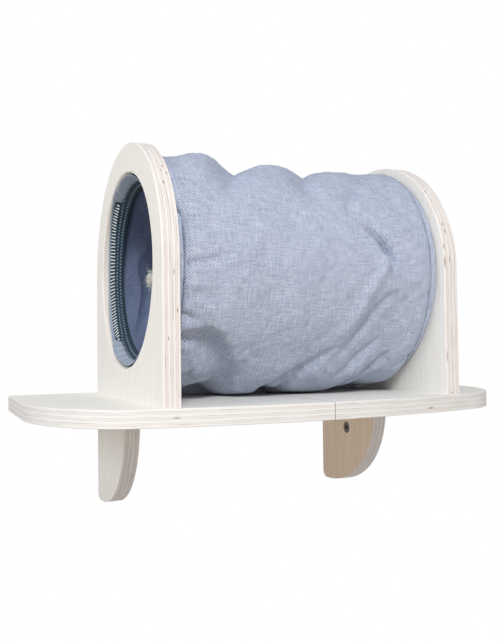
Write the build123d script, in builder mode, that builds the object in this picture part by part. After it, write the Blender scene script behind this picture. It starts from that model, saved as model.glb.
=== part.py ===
from build123d import *
from math import asin, atan2, cos, pi, radians, sin, tan
import os

# A padded cloth tunnel between two arched plywood panels, on a wall shelf with two brackets.
# X runs along the tunnel, +Y points into the wall and +Z points up. Sizes are in millimetres.
# The origin lies on the wall plane, midway between the entry holes of the two hanger plates.

# Plywood boards
board = 18.0
edge_round = 1.0

# Shelf, in two halves that meet at X = 0
shelf_length = 564.0
shelf_depth = 298.0
shelf_side = 134.0
front_span = 400.0
front_bow = 25.0
back_corner = 4.0
corner_pull_share = 0.5

# Arch panels and the round way through them
# The centre of an arch stands higher over the shelf than the arch's radius, by the lift.
arch_span = 346.0
arch_height = 281.0
arch_centre_lift = 2.0
hole_rim = 31.5

# Brackets
bracket_reach = 136.0
bracket_drop = 116.0
bracket_corner = 10.0
bracket_pull_share = 0.6

# Eccentric cams in the brackets and the bolts that they draw down
cam_radius = 7.5
cam_depth = 12.8
cam_drop = 39.0
cam_setback = 66.0
cam_turn_depth = 3.0
cam_turn_width = 2.0
bolt_radius = 3.1
bolt_neck_radius = 2.2
bolt_head = 3.0
bolt_neck = 4.0
bolt_grip = 11.0
bolt_clearance = 0.3

# Dowels
dowel_radius = 4.0
dowel_grip = 16.0
seam_dowel_grip = 20.0
dowel_clearance = 0.1
dowel_end_room = 1.0
dowel_setback_shares = (0.09, 0.38)
seam_dowel_shares = (0.17, 0.5, 0.83)

# Countersunk screws, from below into the front part of each arch
screw_head_radius = 4.0
screw_radius = 2.0
screw_length = 45.0
screw_clearance = 0.2
countersink_angle = 82.0
screw_setback_shares = (0.55, 0.8)

# Keyhole hanger plates in the back edges of the arches
hanger_height = 96.0
hanger_width = 15.0
hanger_length = 48.0
hanger_plate = 1.6
hanger_entry_radius = 4.5
hanger_slot = 4.6
hanger_slot_rise = 10.0
hanger_screw_inset = 6.5
hanger_pocket_depth = 10.0
hanger_pocket_margin = 0.6
hanger_clearance = 0.2
hanger_screw_head_radius = 2.8
hanger_screw_radius = 1.4
hanger_screw_length = 16.0

# Cloth sleeve: cover, wadding and lining
cloth = 1.5
wadding = 5.0
soft_gap = 0.3
lining_ease = 1.2

# Hem bands at the cover's ends, each round a wire hoop
hem_width = 8.4
hem_height = 9.0
hem_round = 2.5
hem_inset = 11.0
hoop_radius = 2.0

# Collars turned into the holes, over rings of hook-and-loop tape
collar_depth = 8.0
collar_overlap = 7.0
tape = 0.9
tape_width = 14.0

# Places worked out from the sizes above
shelf_top = -hanger_height
shelf_under = shelf_top - board
half_length = shelf_length / 2
arch_outer = arch_span / 2
arch_inner = arch_outer - board
arch_middle = arch_outer - board / 2
arch_radius = (arch_height - arch_centre_lift) / 2
arch_depth = 2 * arch_radius
hole_radius = arch_radius - hole_rim
hole_rise = arch_height - arch_radius
hole_z = shelf_top + hole_rise

tunnel_plane = Plane(origin=(0, -arch_radius, hole_z), x_dir=(1, 0, 0), z_dir=(0, -1, 0))
tunnel_axis = Axis((0, -arch_radius, hole_z), (1, 0, 0))

dowel_setbacks = [share * arch_depth for share in dowel_setback_shares]
screw_setbacks = [share * arch_depth for share in screw_setback_shares]
seam_dowel_setbacks = [share * shelf_depth for share in seam_dowel_shares]

hem_outer = arch_radius - hem_inset
hem_inner = hem_outer - hem_height
hem_start = arch_inner - soft_gap - hem_width
cover_end = hem_start - soft_gap
cover_end_radius = hem_outer - hem_round

tape_outer = hole_radius - soft_gap
tape_inner = tape_outer - tape
collar_outer = tape_inner - soft_gap
collar_inner = collar_outer - cloth
lining_inner = collar_outer + soft_gap
lining_outer = lining_inner + lining_ease

screw_head = (screw_head_radius - screw_radius) / tan(radians(countersink_angle / 2))
hanger_screw_head = (hanger_screw_head_radius - hanger_screw_radius) / tan(
    radians(countersink_angle / 2)
)

# Ridges and valleys of the sleeve in turn, as leaning rings: place along the half length and lean
# of the top to the right, then the reach at the top, at the sides and at the bottom
fold_shares = (
    (-0.75, 0.10, 0.960, 0.945, 0.920),
    (-0.48, 0.18, 0.840, 0.890, 0.900),
    (-0.19, 0.17, 0.930, 0.955, 0.995),
    (0.10, 0.17, 0.865, 0.905, 0.950),
    (0.42, 0.13, 0.925, 0.960, 1.000),
    (0.68, 0.06, 0.905, 0.915, 0.945),
    (0.87, 0.01, 0.935, 0.940, 0.960),
)
fold_steps = 3


# Profiles and planes that several pieces share

def ring_profile(start, end, inner, outer):
    """The section of a ring round the tunnel's axis, between two places along it."""
    with BuildSketch(tunnel_plane) as profile:
        with Locations(((start + end) / 2, (inner + outer) / 2)):
            Rectangle(end - start, outer - inner)
    return profile.sketch


def facing_right(x, y, z):
    """A plane across the tunnel, with its own X axis towards the wall."""
    return Plane(origin=(x, y, z), x_dir=(0, 1, 0), z_dir=(1, 0, 0))


def fold_ring(plane, top, side, bottom):
    """A face made of four arcs, out to the given reaches from the plane's origin."""
    diagonal = sin(radians(45))
    upper = (top + side) / 2 * diagonal
    lower = (bottom + side) / 2 * diagonal
    with BuildSketch(plane) as outline:
        with BuildLine():
            ThreePointArc((side, 0), (upper, upper), (0, top))
            ThreePointArc((0, top), (-upper, upper), (-side, 0))
            ThreePointArc((-side, 0), (-lower, -lower), (0, -bottom))
            ThreePointArc((0, -bottom), (lower, -lower), (side, 0))
        make_face()
    return outline.sketch


def sleeve_sections(inset):
    """Sections that follow the sleeve's folds from end to end, drawn in by inset."""
    rings = [
        (
            place * cover_end,
            lean * cover_end,
            top * arch_radius,
            side * arch_radius,
            bottom * (hole_rise - soft_gap),
        )
        for place, lean, top, side, bottom in fold_shares
    ]
    end_reaches = (cover_end_radius, cover_end_radius, cover_end_radius)
    rings = [(-cover_end, 0, *end_reaches), *rings, (cover_end, 0, *end_reaches)]
    sections = []
    for start, finish in zip(rings, rings[1:]):
        for step in range(fold_steps):
            along = step / fold_steps
            rising = finish[2] > start[2]
            blend = sin(pi / 2 * along) if rising else 1 - cos(pi / 2 * along)
            place = start[0] + along * (finish[0] - start[0])
            sizes = [low + blend * (high - low) for low, high in zip(start[1:], finish[1:])]
            sections.append(sleeve_section(place, *sizes, inset))
    sections.append(sleeve_section(*rings[-1], inset))
    return sections


def sleeve_section(place, lean, top, side, bottom, inset):
    """One section of the sleeve, across it at a place, with its top leaning to the right."""
    tilt = atan2(lean, arch_radius)
    plane = Plane(
        origin=(place, -arch_radius, hole_z), x_dir=(0, 1, 0), z_dir=(cos(tilt), 0, -sin(tilt))
    )
    return fold_ring(plane, (top - inset) / cos(tilt), side - inset, (bottom - inset) / cos(tilt))


def below(setback):
    """A plane on the shelf's underside that looks down, under the right arch."""
    return Plane(origin=(arch_middle, -setback, shelf_under), z_dir=(0, 0, -1))


def arch_foot(setback):
    """A plane on the right arch's foot that looks down."""
    return Plane(origin=(arch_middle, -setback, shelf_top), z_dir=(0, 0, -1))


def hanger_face(rise):
    """A plane on the right arch's back edge that looks into the wall, above the entry hole."""
    return Plane(origin=(arch_middle, 0, rise), x_dir=(-1, 0, 0), z_dir=(0, 1, 0))


hanger_centre = hanger_slot_rise / 2
hanger_screw_rises = [
    hanger_centre + side * (hanger_length / 2 - hanger_screw_inset) for side in (-1, 1)
]

# Right half of the shelf

front_radius = ((front_span / 2) ** 2 + front_bow**2) / (2 * front_bow)
front_turn = asin(front_span / 2 / front_radius)
corner_depth = shelf_depth - front_bow
corner_pull = corner_pull_share * (half_length - front_span / 2)
middle_turn = front_turn / 2

with BuildPart() as shelf_board_right:
    with BuildSketch(Plane.XY.offset(shelf_under)):
        with BuildLine():
            Line((0, 0), (half_length, 0))
            Line((half_length, 0), (half_length, -shelf_side))
            Bezier(
                (half_length, -shelf_side),
                (half_length, -shelf_side - corner_pull_share * (corner_depth - shelf_side)),
                (
                    front_span / 2 + corner_pull * cos(front_turn),
                    -corner_depth + corner_pull * sin(front_turn),
                ),
                (front_span / 2, -corner_depth),
            )
            ThreePointArc(
                (front_span / 2, -corner_depth),
                (
                    front_radius * sin(middle_turn),
                    -shelf_depth + front_radius * (1 - cos(middle_turn)),
                ),
                (0, -shelf_depth),
            )
            Line((0, -shelf_depth), (0, 0))
        make_face()
    extrude(amount=board)
    back_edge = shelf_board_right.edges().filter_by(Axis.Z).group_by(Axis.Y)[-1].sort_by(Axis.X)[-1]
    fillet(back_edge, back_corner)
    rims = shelf_board_right.faces().filter_by(Axis.Z).edges()
    seam_rims = rims.filter_by(Axis.Y).group_by(Axis.X)[0]
    fillet([edge for edge in rims if edge not in seam_rims], edge_round)
    with Locations(*[below(setback) for setback in dowel_setbacks]):
        Hole(dowel_radius + dowel_clearance)
    with Locations(below(cam_setback)):
        Hole(bolt_radius + bolt_clearance)
    with Locations(*[below(setback) for setback in screw_setbacks]):
        CounterSinkHole(screw_radius + screw_clearance, screw_head_radius + screw_clearance)
    seam_planes = [
        Plane(origin=(0, -setback, shelf_under + board / 2), z_dir=(-1, 0, 0))
        for setback in seam_dowel_setbacks
    ]
    with Locations(*seam_planes):
        Hole(dowel_radius + dowel_clearance, seam_dowel_grip + dowel_end_room)

with BuildPart() as shelf_board_left:
    mirror(shelf_board_right.part, about=Plane.YZ)

# Dowels across the seam of the shelf

with BuildPart() as seam_dowels:
    with BuildSketch(Plane.YZ.offset(-seam_dowel_grip)):
        with Locations(*[(-setback, shelf_under + board / 2) for setback in seam_dowel_setbacks]):
            Circle(dowel_radius)
    extrude(amount=2 * seam_dowel_grip)

# Right arch panel

with BuildPart() as arch_panel_right:
    with BuildSketch(Plane.YZ.offset(arch_inner)):
        with BuildLine():
            Line((0, shelf_top), (0, hole_z))
            ThreePointArc((0, hole_z), (-arch_radius, hole_z + arch_radius), (-arch_depth, hole_z))
            Line((-arch_depth, hole_z), (-arch_depth, shelf_top))
            Line((-arch_depth, shelf_top), (0, shelf_top))
        make_face()
        with Locations((-arch_radius, hole_z)):
            Circle(hole_radius, mode=Mode.SUBTRACT)
    extrude(amount=board)
    rims = arch_panel_right.faces().filter_by(Axis.X).edges()
    foot_rims = rims.group_by(Axis.Z)[0]
    fillet([edge for edge in rims if edge not in foot_rims], edge_round)
    with Locations(*[arch_foot(setback) for setback in dowel_setbacks]):
        Hole(dowel_radius + dowel_clearance, dowel_grip + dowel_end_room)
    with Locations(arch_foot(cam_setback)):
        Hole(bolt_radius + bolt_clearance, bolt_grip + dowel_end_room)
    with Locations(*[arch_foot(setback) for setback in screw_setbacks]):
        Hole(screw_radius + screw_clearance, screw_length - board + dowel_end_room)
    with BuildSketch(hanger_face(hanger_centre)):
        SlotOverall(
            hanger_length + 2 * hanger_clearance,
            hanger_width + 2 * hanger_clearance,
            rotation=90,
        )
    extrude(amount=-hanger_plate, mode=Mode.SUBTRACT)
    with BuildSketch(hanger_face(hanger_centre)):
        pocket_width = 2 * (hanger_entry_radius + hanger_pocket_margin)
        SlotOverall(hanger_slot_rise + pocket_width, pocket_width, rotation=90)
    extrude(amount=-hanger_pocket_depth, mode=Mode.SUBTRACT)
    with Locations(*[hanger_face(rise) for rise in hanger_screw_rises]):
        Hole(hanger_screw_radius + hanger_clearance, hanger_screw_length + dowel_end_room)

with BuildPart() as arch_panel_left:
    mirror(arch_panel_right.part, about=Plane.YZ)

# Right bracket, under the right arch

bracket_foot = shelf_under - bracket_drop
cam_face = facing_right(arch_inner, -cam_setback, shelf_under - cam_drop)

with BuildPart() as bracket_right:
    with BuildSketch(Plane.YZ.offset(arch_inner)):
        with BuildLine():
            Line((0, shelf_under), (-bracket_reach, shelf_under))
            Bezier(
                (-bracket_reach, shelf_under),
                (-bracket_reach, shelf_under - bracket_pull_share * bracket_drop),
                (-bracket_corner - bracket_pull_share * (bracket_reach - bracket_corner), bracket_foot),
                (-bracket_corner, bracket_foot),
            )
            RadiusArc(
                (-bracket_corner, bracket_foot),
                (0, bracket_foot + bracket_corner),
                -bracket_corner,
            )
            Line((0, bracket_foot + bracket_corner), (0, shelf_under))
        make_face()
    extrude(amount=board)
    rims = bracket_right.faces().filter_by(Axis.X).edges()
    seat_rims = rims.group_by(Axis.Z)[-1]
    fillet([edge for edge in rims if edge not in seat_rims], edge_round)
    with BuildSketch(cam_face):
        Circle(cam_radius + bolt_clearance)
    extrude(amount=cam_depth + bolt_clearance, mode=Mode.SUBTRACT)
    with Locations((arch_middle, -cam_setback, shelf_under)):
        Hole(bolt_radius + bolt_clearance, cam_drop)
    with Locations(*[(arch_middle, -setback, shelf_under) for setback in dowel_setbacks]):
        Hole(dowel_radius + dowel_clearance, dowel_grip + dowel_end_room)

with BuildPart() as bracket_left:
    mirror(bracket_right.part, about=Plane.YZ)

# Cams, flush with the brackets' inner faces, each with a cross recess and a hole for its bolt

with BuildPart() as bracket_cam_right:
    with BuildSketch(cam_face):
        Circle(cam_radius)
    extrude(amount=cam_depth)
    with BuildSketch(cam_face):
        Rectangle(cam_radius, cam_turn_width)
        Rectangle(cam_turn_width, cam_radius)
    extrude(amount=cam_turn_depth, mode=Mode.SUBTRACT)
    with Locations(Plane(origin=(arch_middle, -cam_setback, shelf_under - cam_drop + cam_radius))):
        Hole(bolt_radius + bolt_clearance, cam_radius + bolt_head)

with BuildPart() as bracket_cam_left:
    mirror(bracket_cam_right.part, about=Plane.YZ)

# Bolts that the cams draw down, through the shelf and into the arches' feet

bolt_foot = shelf_under - cam_drop

with BuildPart() as cam_bolt_right:
    with BuildSketch(Plane(origin=(arch_middle, -cam_setback, bolt_foot))):
        Circle(bolt_radius)
    extrude(amount=bolt_head)
    with BuildSketch(Plane(origin=(arch_middle, -cam_setback, bolt_foot + bolt_head))):
        Circle(bolt_neck_radius)
    extrude(amount=bolt_neck)
    with BuildSketch(Plane(origin=(arch_middle, -cam_setback, bolt_foot + bolt_head + bolt_neck))):
        Circle(bolt_radius)
    extrude(amount=cam_drop + board + bolt_grip - bolt_head - bolt_neck)

with BuildPart() as cam_bolt_left:
    mirror(cam_bolt_right.part, about=Plane.YZ)

# Dowels that line up bracket, shelf and arch on both sides

with BuildPart() as through_dowels:
    with BuildSketch(Plane.XY.offset(shelf_under - dowel_grip)):
        with Locations(*[(side * arch_middle, -back) for side in (-1, 1) for back in dowel_setbacks]):
            Circle(dowel_radius)
    extrude(amount=board + 2 * dowel_grip)

# Screws up through the shelf into the front part of each arch

with BuildPart() as arch_screws:
    for side in (-1, 1):
        for setback in screw_setbacks:
            screw_plane = Plane(
                origin=(side * arch_middle, -setback, shelf_under), x_dir=(1, 0, 0), z_dir=(0, -1, 0)
            )
            with BuildSketch(screw_plane):
                Polygon(
                    (0, 0),
                    (screw_head_radius, 0),
                    (screw_radius, screw_head),
                    (screw_radius, screw_length - screw_radius),
                    (0, screw_length),
                    align=None,
                )
            revolve(axis=Axis((side * arch_middle, -setback, shelf_under), (0, 0, 1)))

# Keyhole plate in the right arch's back edge

with BuildPart() as hanger_plate_right:
    with BuildSketch(hanger_face(hanger_centre)):
        SlotOverall(hanger_length, hanger_width, rotation=90)
    extrude(amount=-hanger_plate)
    with BuildSketch(hanger_face(0)):
        Circle(hanger_entry_radius)
        with Locations((0, hanger_slot_rise / 2)):
            Rectangle(hanger_slot, hanger_slot_rise)
        with Locations((0, hanger_slot_rise)):
            Circle(hanger_slot / 2)
    extrude(amount=-hanger_plate, mode=Mode.SUBTRACT)
    with Locations(*[hanger_face(rise) for rise in hanger_screw_rises]):
        CounterSinkHole(
            hanger_screw_radius + hanger_clearance, hanger_screw_head_radius + hanger_clearance
        )

with BuildPart() as hanger_plate_left:
    mirror(hanger_plate_right.part, about=Plane.YZ)

# Small screws of both hanger plates

with BuildPart() as hanger_screws:
    for side in (-1, 1):
        for rise in hanger_screw_rises:
            screw_plane = Plane(origin=(side * arch_middle, 0, rise))
            with BuildSketch(screw_plane):
                Polygon(
                    (0, 0),
                    (hanger_screw_head_radius, 0),
                    (hanger_screw_radius, -hanger_screw_head),
                    (hanger_screw_radius, hanger_screw_radius - hanger_screw_length),
                    (0, -hanger_screw_length),
                    align=None,
                )
            revolve(axis=Axis((side * arch_middle, 0, rise), (0, 1, 0)))

# Outer cover of the sleeve, with its main folds

with BuildPart() as tunnel_sleeve:
    loft(sections=sleeve_sections(0), ruled=True)
    loft(sections=sleeve_sections(cloth), ruled=True, mode=Mode.SUBTRACT)

# Wadding that lies inside the cover

with BuildPart() as sleeve_padding:
    loft(sections=sleeve_sections(cloth + soft_gap), ruled=True)
    loft(
        sections=sleeve_sections(cloth + soft_gap + wadding),
        ruled=True,
        mode=Mode.SUBTRACT,
    )

# Straight inner lining, from arch to arch

with BuildPart() as sleeve_lining:
    lining_end = arch_inner - soft_gap
    revolve(ring_profile(-lining_end, lining_end, lining_inner, lining_outer), axis=tunnel_axis)

# Right hem band, folded round its hoop and open towards the arch

hoop_place = arch_inner - 2 * soft_gap - hoop_radius
hoop_turn = (hem_outer + hem_inner) / 2

with BuildPart() as hem_band_right:
    with BuildSketch(tunnel_plane):
        with Locations((hem_start + hem_width / 2, hoop_turn)):
            Rectangle(hem_width, hem_height)
        fillet(vertices(), hem_round)
        with Locations((hoop_place, hoop_turn)):
            Circle(hoop_radius + soft_gap, mode=Mode.SUBTRACT)
        with Locations(((hoop_place + arch_inner) / 2, hoop_turn)):
            Rectangle(arch_inner - hoop_place, 2 * (hoop_radius + soft_gap), mode=Mode.SUBTRACT)
    revolve(axis=tunnel_axis)

with BuildPart() as hem_band_left:
    mirror(hem_band_right.part, about=Plane.YZ)

# Right wire hoop

with BuildPart() as end_hoop_right:
    with BuildSketch(tunnel_plane):
        with Locations((hoop_place, hoop_turn)):
            Circle(hoop_radius)
    revolve(axis=tunnel_axis)

with BuildPart() as end_hoop_left:
    mirror(end_hoop_right.part, about=Plane.YZ)

# Right collar, turned into the hole, and the tape ring that holds it

with BuildPart() as sleeve_collar_right:
    collar_start = arch_inner - collar_overlap
    collar_end = arch_inner + collar_depth
    revolve(ring_profile(collar_start, collar_end, collar_inner, collar_outer), axis=tunnel_axis)

with BuildPart() as sleeve_collar_left:
    mirror(sleeve_collar_right.part, about=Plane.YZ)

with BuildPart() as bore_tape_right:
    tape_start = arch_middle - tape_width / 2
    tape_end = arch_middle + tape_width / 2
    revolve(ring_profile(tape_start, tape_end, tape_inner, tape_outer), axis=tunnel_axis)

with BuildPart() as bore_tape_left:
    mirror(bore_tape_right.part, about=Plane.YZ)

# One file for each piece

pieces = {
    "shelf_board_left": shelf_board_left,
    "shelf_board_right": shelf_board_right,
    "seam_dowels": seam_dowels,
    "arch_panel_left": arch_panel_left,
    "arch_panel_right": arch_panel_right,
    "bracket_left": bracket_left,
    "bracket_right": bracket_right,
    "bracket_cam_left": bracket_cam_left,
    "bracket_cam_right": bracket_cam_right,
    "cam_bolt_left": cam_bolt_left,
    "cam_bolt_right": cam_bolt_right,
    "through_dowels": through_dowels,
    "arch_screws": arch_screws,
    "hanger_plate_left": hanger_plate_left,
    "hanger_plate_right": hanger_plate_right,
    "hanger_screws": hanger_screws,
    "tunnel_sleeve": tunnel_sleeve,
    "sleeve_padding": sleeve_padding,
    "sleeve_lining": sleeve_lining,
    "hem_band_left": hem_band_left,
    "hem_band_right": hem_band_right,
    "end_hoop_left": end_hoop_left,
    "end_hoop_right": end_hoop_right,
    "sleeve_collar_left": sleeve_collar_left,
    "sleeve_collar_right": sleeve_collar_right,
    "bore_tape_left": bore_tape_left,
    "bore_tape_right": bore_tape_right,
}

os.makedirs("parts", exist_ok=True)
for name, piece in pieces.items():
    piece.part.label = name
    export_step(piece.part, f"parts/{name}.step")
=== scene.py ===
import math

import bmesh
import bpy
import numpy as np
from mathutils import Matrix, Vector, noise


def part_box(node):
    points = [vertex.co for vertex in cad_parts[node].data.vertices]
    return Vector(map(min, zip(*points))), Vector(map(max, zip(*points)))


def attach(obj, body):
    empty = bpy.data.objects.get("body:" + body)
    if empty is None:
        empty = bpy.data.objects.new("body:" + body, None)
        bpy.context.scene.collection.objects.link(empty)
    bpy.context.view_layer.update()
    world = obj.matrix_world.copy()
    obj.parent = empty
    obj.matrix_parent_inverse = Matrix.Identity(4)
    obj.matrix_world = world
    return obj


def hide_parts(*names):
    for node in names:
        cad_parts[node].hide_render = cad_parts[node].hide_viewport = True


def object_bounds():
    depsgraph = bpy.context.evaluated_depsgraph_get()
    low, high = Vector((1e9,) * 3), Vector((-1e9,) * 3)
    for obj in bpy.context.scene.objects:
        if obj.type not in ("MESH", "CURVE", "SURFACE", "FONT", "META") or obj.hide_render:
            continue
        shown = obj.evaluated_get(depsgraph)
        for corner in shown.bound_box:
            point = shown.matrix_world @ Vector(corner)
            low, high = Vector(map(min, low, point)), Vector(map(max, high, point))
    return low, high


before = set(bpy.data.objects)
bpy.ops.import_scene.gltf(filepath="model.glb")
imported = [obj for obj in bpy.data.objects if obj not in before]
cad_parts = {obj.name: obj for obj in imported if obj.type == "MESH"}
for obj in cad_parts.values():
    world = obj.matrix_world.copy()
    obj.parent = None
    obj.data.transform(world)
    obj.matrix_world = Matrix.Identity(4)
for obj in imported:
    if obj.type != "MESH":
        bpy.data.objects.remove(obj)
cadBounds = [list(corner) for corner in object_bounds()]
mm = 0.001

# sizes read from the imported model
archLow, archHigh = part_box("arch_panel_right")
shelfLow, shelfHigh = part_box("shelf_board_right")
hemLow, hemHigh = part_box("hem_band_right")
collarLow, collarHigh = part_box("sleeve_collar_right")
liningLow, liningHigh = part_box("sleeve_lining")
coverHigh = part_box("tunnel_sleeve")[1]
archRadius = (archHigh[1] - archLow[1]) / 2
axisY = -archRadius
axisZ = archHigh[2] - archRadius
shelfTop = shelfHigh[2]
board = shelfHigh[2] - shelfLow[2]
innerFace = archLow[0]
outerFace = archHigh[0]


# small helpers

def linear(hexColour):
    # sRGB hex to linear RGBA
    parts = [int(hexColour[i:i + 2], 16) / 255 for i in (1, 3, 5)]
    return [p / 12.92 if p <= 0.04045 else ((p + 0.055) / 1.055) ** 2.4 for p in parts] + [1.0]


def setSockets(tree, node, sockets):
    # Sets sockets, by name or number, to plain values, or links them to a node or (node, output)
    for key, value in sockets.items():
        if isinstance(value, bpy.types.Node):
            value = (value, 0)
        if isinstance(value, tuple) and isinstance(value[0], bpy.types.Node):
            tree.links.new(value[0].outputs[value[1]], node.inputs[key])
        else:
            node.inputs[key].default_value = value


def addNode(tree, kind, settings=None, *values, **links):
    # Adds one node. A short kind is a shader node's, and settings that are one word name its
    # operation. Values go to its sockets in order, and links by name, or by number as in i6.
    node = tree.nodes.new(kind if "Node" in kind else "ShaderNode" + kind)
    if isinstance(settings, str):
        settings = {"operation": settings}
    for key, value in (settings or {}).items():
        setattr(node, key, value)
    named = {int(k[1:]) if k[0] == "i" and k[1:].isdigit() else k: v for k, v in links.items()}
    setSockets(tree, node, {**dict(enumerate(values)), **named})
    return node


def setRamp(node, stops):
    # Colour stops as (place, hex) pairs
    ramp = node.color_ramp
    while len(ramp.elements) < len(stops):
        ramp.elements.new(0.5)
    for element, (place, colour) in zip(ramp.elements, stops):
        element.position = place
        element.color = linear(colour)


def newMaterial(name, roughness):
    material = bpy.data.materials.new(name)
    material.use_nodes = True
    tree = material.node_tree
    shader = tree.nodes["Principled BSDF"]
    setSockets(tree, shader, {"Roughness": roughness})
    return material, tree, shader


def newLinked(name, data):
    obj = bpy.data.objects.new(name, data)
    bpy.context.collection.objects.link(obj)
    return obj


def newObject(name, verts, faces, material, smooth=True):
    mesh = bpy.data.meshes.new(name)
    mesh.from_pydata([tuple(v) for v in verts], [], faces)
    mesh.update()
    for polygon in mesh.polygons:
        polygon.use_smooth = smooth
    mesh.materials.append(material)
    return newLinked(name, mesh)


def aroundAxis(x, reach, degrees):
    # Points round the tunnel's axis: 0 faces the room, 90 is the top, 180 the wall
    angle = np.radians(degrees)
    return np.stack([x, axisY - reach * np.cos(angle), axisZ + reach * np.sin(angle)], axis=-1)


def degreesRound(count):
    return np.arange(count) * 360 / count


def tubeGrid(halfLength, rows, columns):
    # Places along a tube, then the place along and the degrees round of each of its points
    x = np.linspace(-halfLength, halfLength, rows)
    gridX, gridA = (g.ravel() for g in np.meshgrid(x, degreesRound(columns), indexing="ij"))
    return x, gridX, gridA


def tubeFaces(rows, columns, closedRows=False):
    # Quads of a grid that closes round its columns, and over its rows if asked
    faces = []
    for i in range(rows if closedRows else rows - 1):
        for j in range(columns):
            a, b = i * columns + j, i * columns + (j + 1) % columns
            c, d = ((i + 1) % rows) * columns + (j + 1) % columns, ((i + 1) % rows) * columns + j
            faces.append((a, d, c, b))
    return faces


def newShell(name, outer, inner, rows, columns, material):
    # The outer skin, then the inner skin back again, as one closed ring of rows
    inner = inner.reshape(rows, columns, 3)[::-1].reshape(-1, 3)
    faces = tubeFaces(2 * rows, columns, closedRows=True)
    return newObject(name, np.concatenate([outer, inner]), faces, material)


def addRingUv(obj, columns, rows, alongValues, roundLength):
    # Real metres as UV: round the tube and along it
    mesh = obj.data
    uv = mesh.uv_layers.new(name="clothUv")
    for polygon in mesh.polygons:
        for loop in polygon.loop_indices:
            index = mesh.loops[loop].vertex_index % (columns * rows)
            row, column = divmod(index, columns)
            polygonColumns = [mesh.loops[l].vertex_index % columns for l in polygon.loop_indices]
            wraps = max(polygonColumns) - min(polygonColumns) > columns / 2 and column == 0
            share = 1.0 if wraps else column / columns
            uv.data[loop].uv = (share * roundLength, alongValues[row])


# Camera at the photograph's angle; place in metres, angles in degrees, focal length in photo pixels
camera = {
    "place": (-0.3767, -0.9319, shelfTop + 0.0591),
    "yaw": 24.24,
    "pitch": 1.80,
    "roll": -0.72,
    "focalPixels": 729.9,
    "photoHeight": 642,
    "sensor": 36.0,
}


def makeCamera(c):
    yaw, pitch, roll = (math.radians(c[k]) for k in ("yaw", "pitch", "roll"))
    forward = Vector((math.sin(yaw) * math.cos(pitch), math.cos(yaw) * math.cos(pitch), math.sin(pitch)))
    right = Vector((math.cos(yaw), -math.sin(yaw), 0))
    up = right.cross(forward)
    rightRolled = right * math.cos(roll) + up * math.sin(roll)
    upRolled = up * math.cos(roll) - right * math.sin(roll)
    data = bpy.data.cameras.new("photoCamera")
    data.sensor_width = c["sensor"]
    data.lens = c["focalPixels"] * c["sensor"] / c["photoHeight"]
    obj = newLinked("photoCamera", data)
    turn = Matrix((rightRolled, upRolled, -forward)).transposed()
    obj.matrix_world = Matrix.Translation(c["place"]) @ turn.to_4x4()
    bpy.context.scene.camera = obj


makeCamera(camera)
print("camera set")

# Materials

# Birch plywood, sanded and thinly washed white: pale satin faces with faint long grain, and edges
# striped by plies of end and long grain in turn, with thin dark glue lines that come and go
plywood = {
    "faceHex": "#EEEEEA",
    "faceStreakHex": "#EAE7E1",
    "edgeLightHex": "#E2DEDC",     # long grain plies in the edge
    "edgeDarkHex": "#D8D1CD",      # end grain plies
    "glueHex": "#968B83",
    "knotHex": "#6B5140",
    "seamHex": "#7A6A5E",          # joint between the shelf's halves
    "roughness": 0.62,
    "plies": 7,
    "glueShare": 0.085,            # of one ply
    "glueTone": (2.6, -0.95),      # contrast and level of a glue line's fading
    "glueFades": (34.0, 420.0),    # per metre, along a line and from line to line
    "waverMm": 0.8,                # sway of the plies
    "wavers": 22.0,                # per metre
    "streakMm": 3.0,
    "streakLengthMm": 90.0,
    "streakRange": (0.38, 0.60),
    "fibres": 260.0,               # per metre
    "fibreTone": 0.9,
    "faceTurn": (0.78, 0.92),      # how squarely it faces along the plies, from edge to face
    "knotDark": 0.85,
    "seamHalfMm": 0.35,
    "grainMm": 0.6,
}


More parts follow.
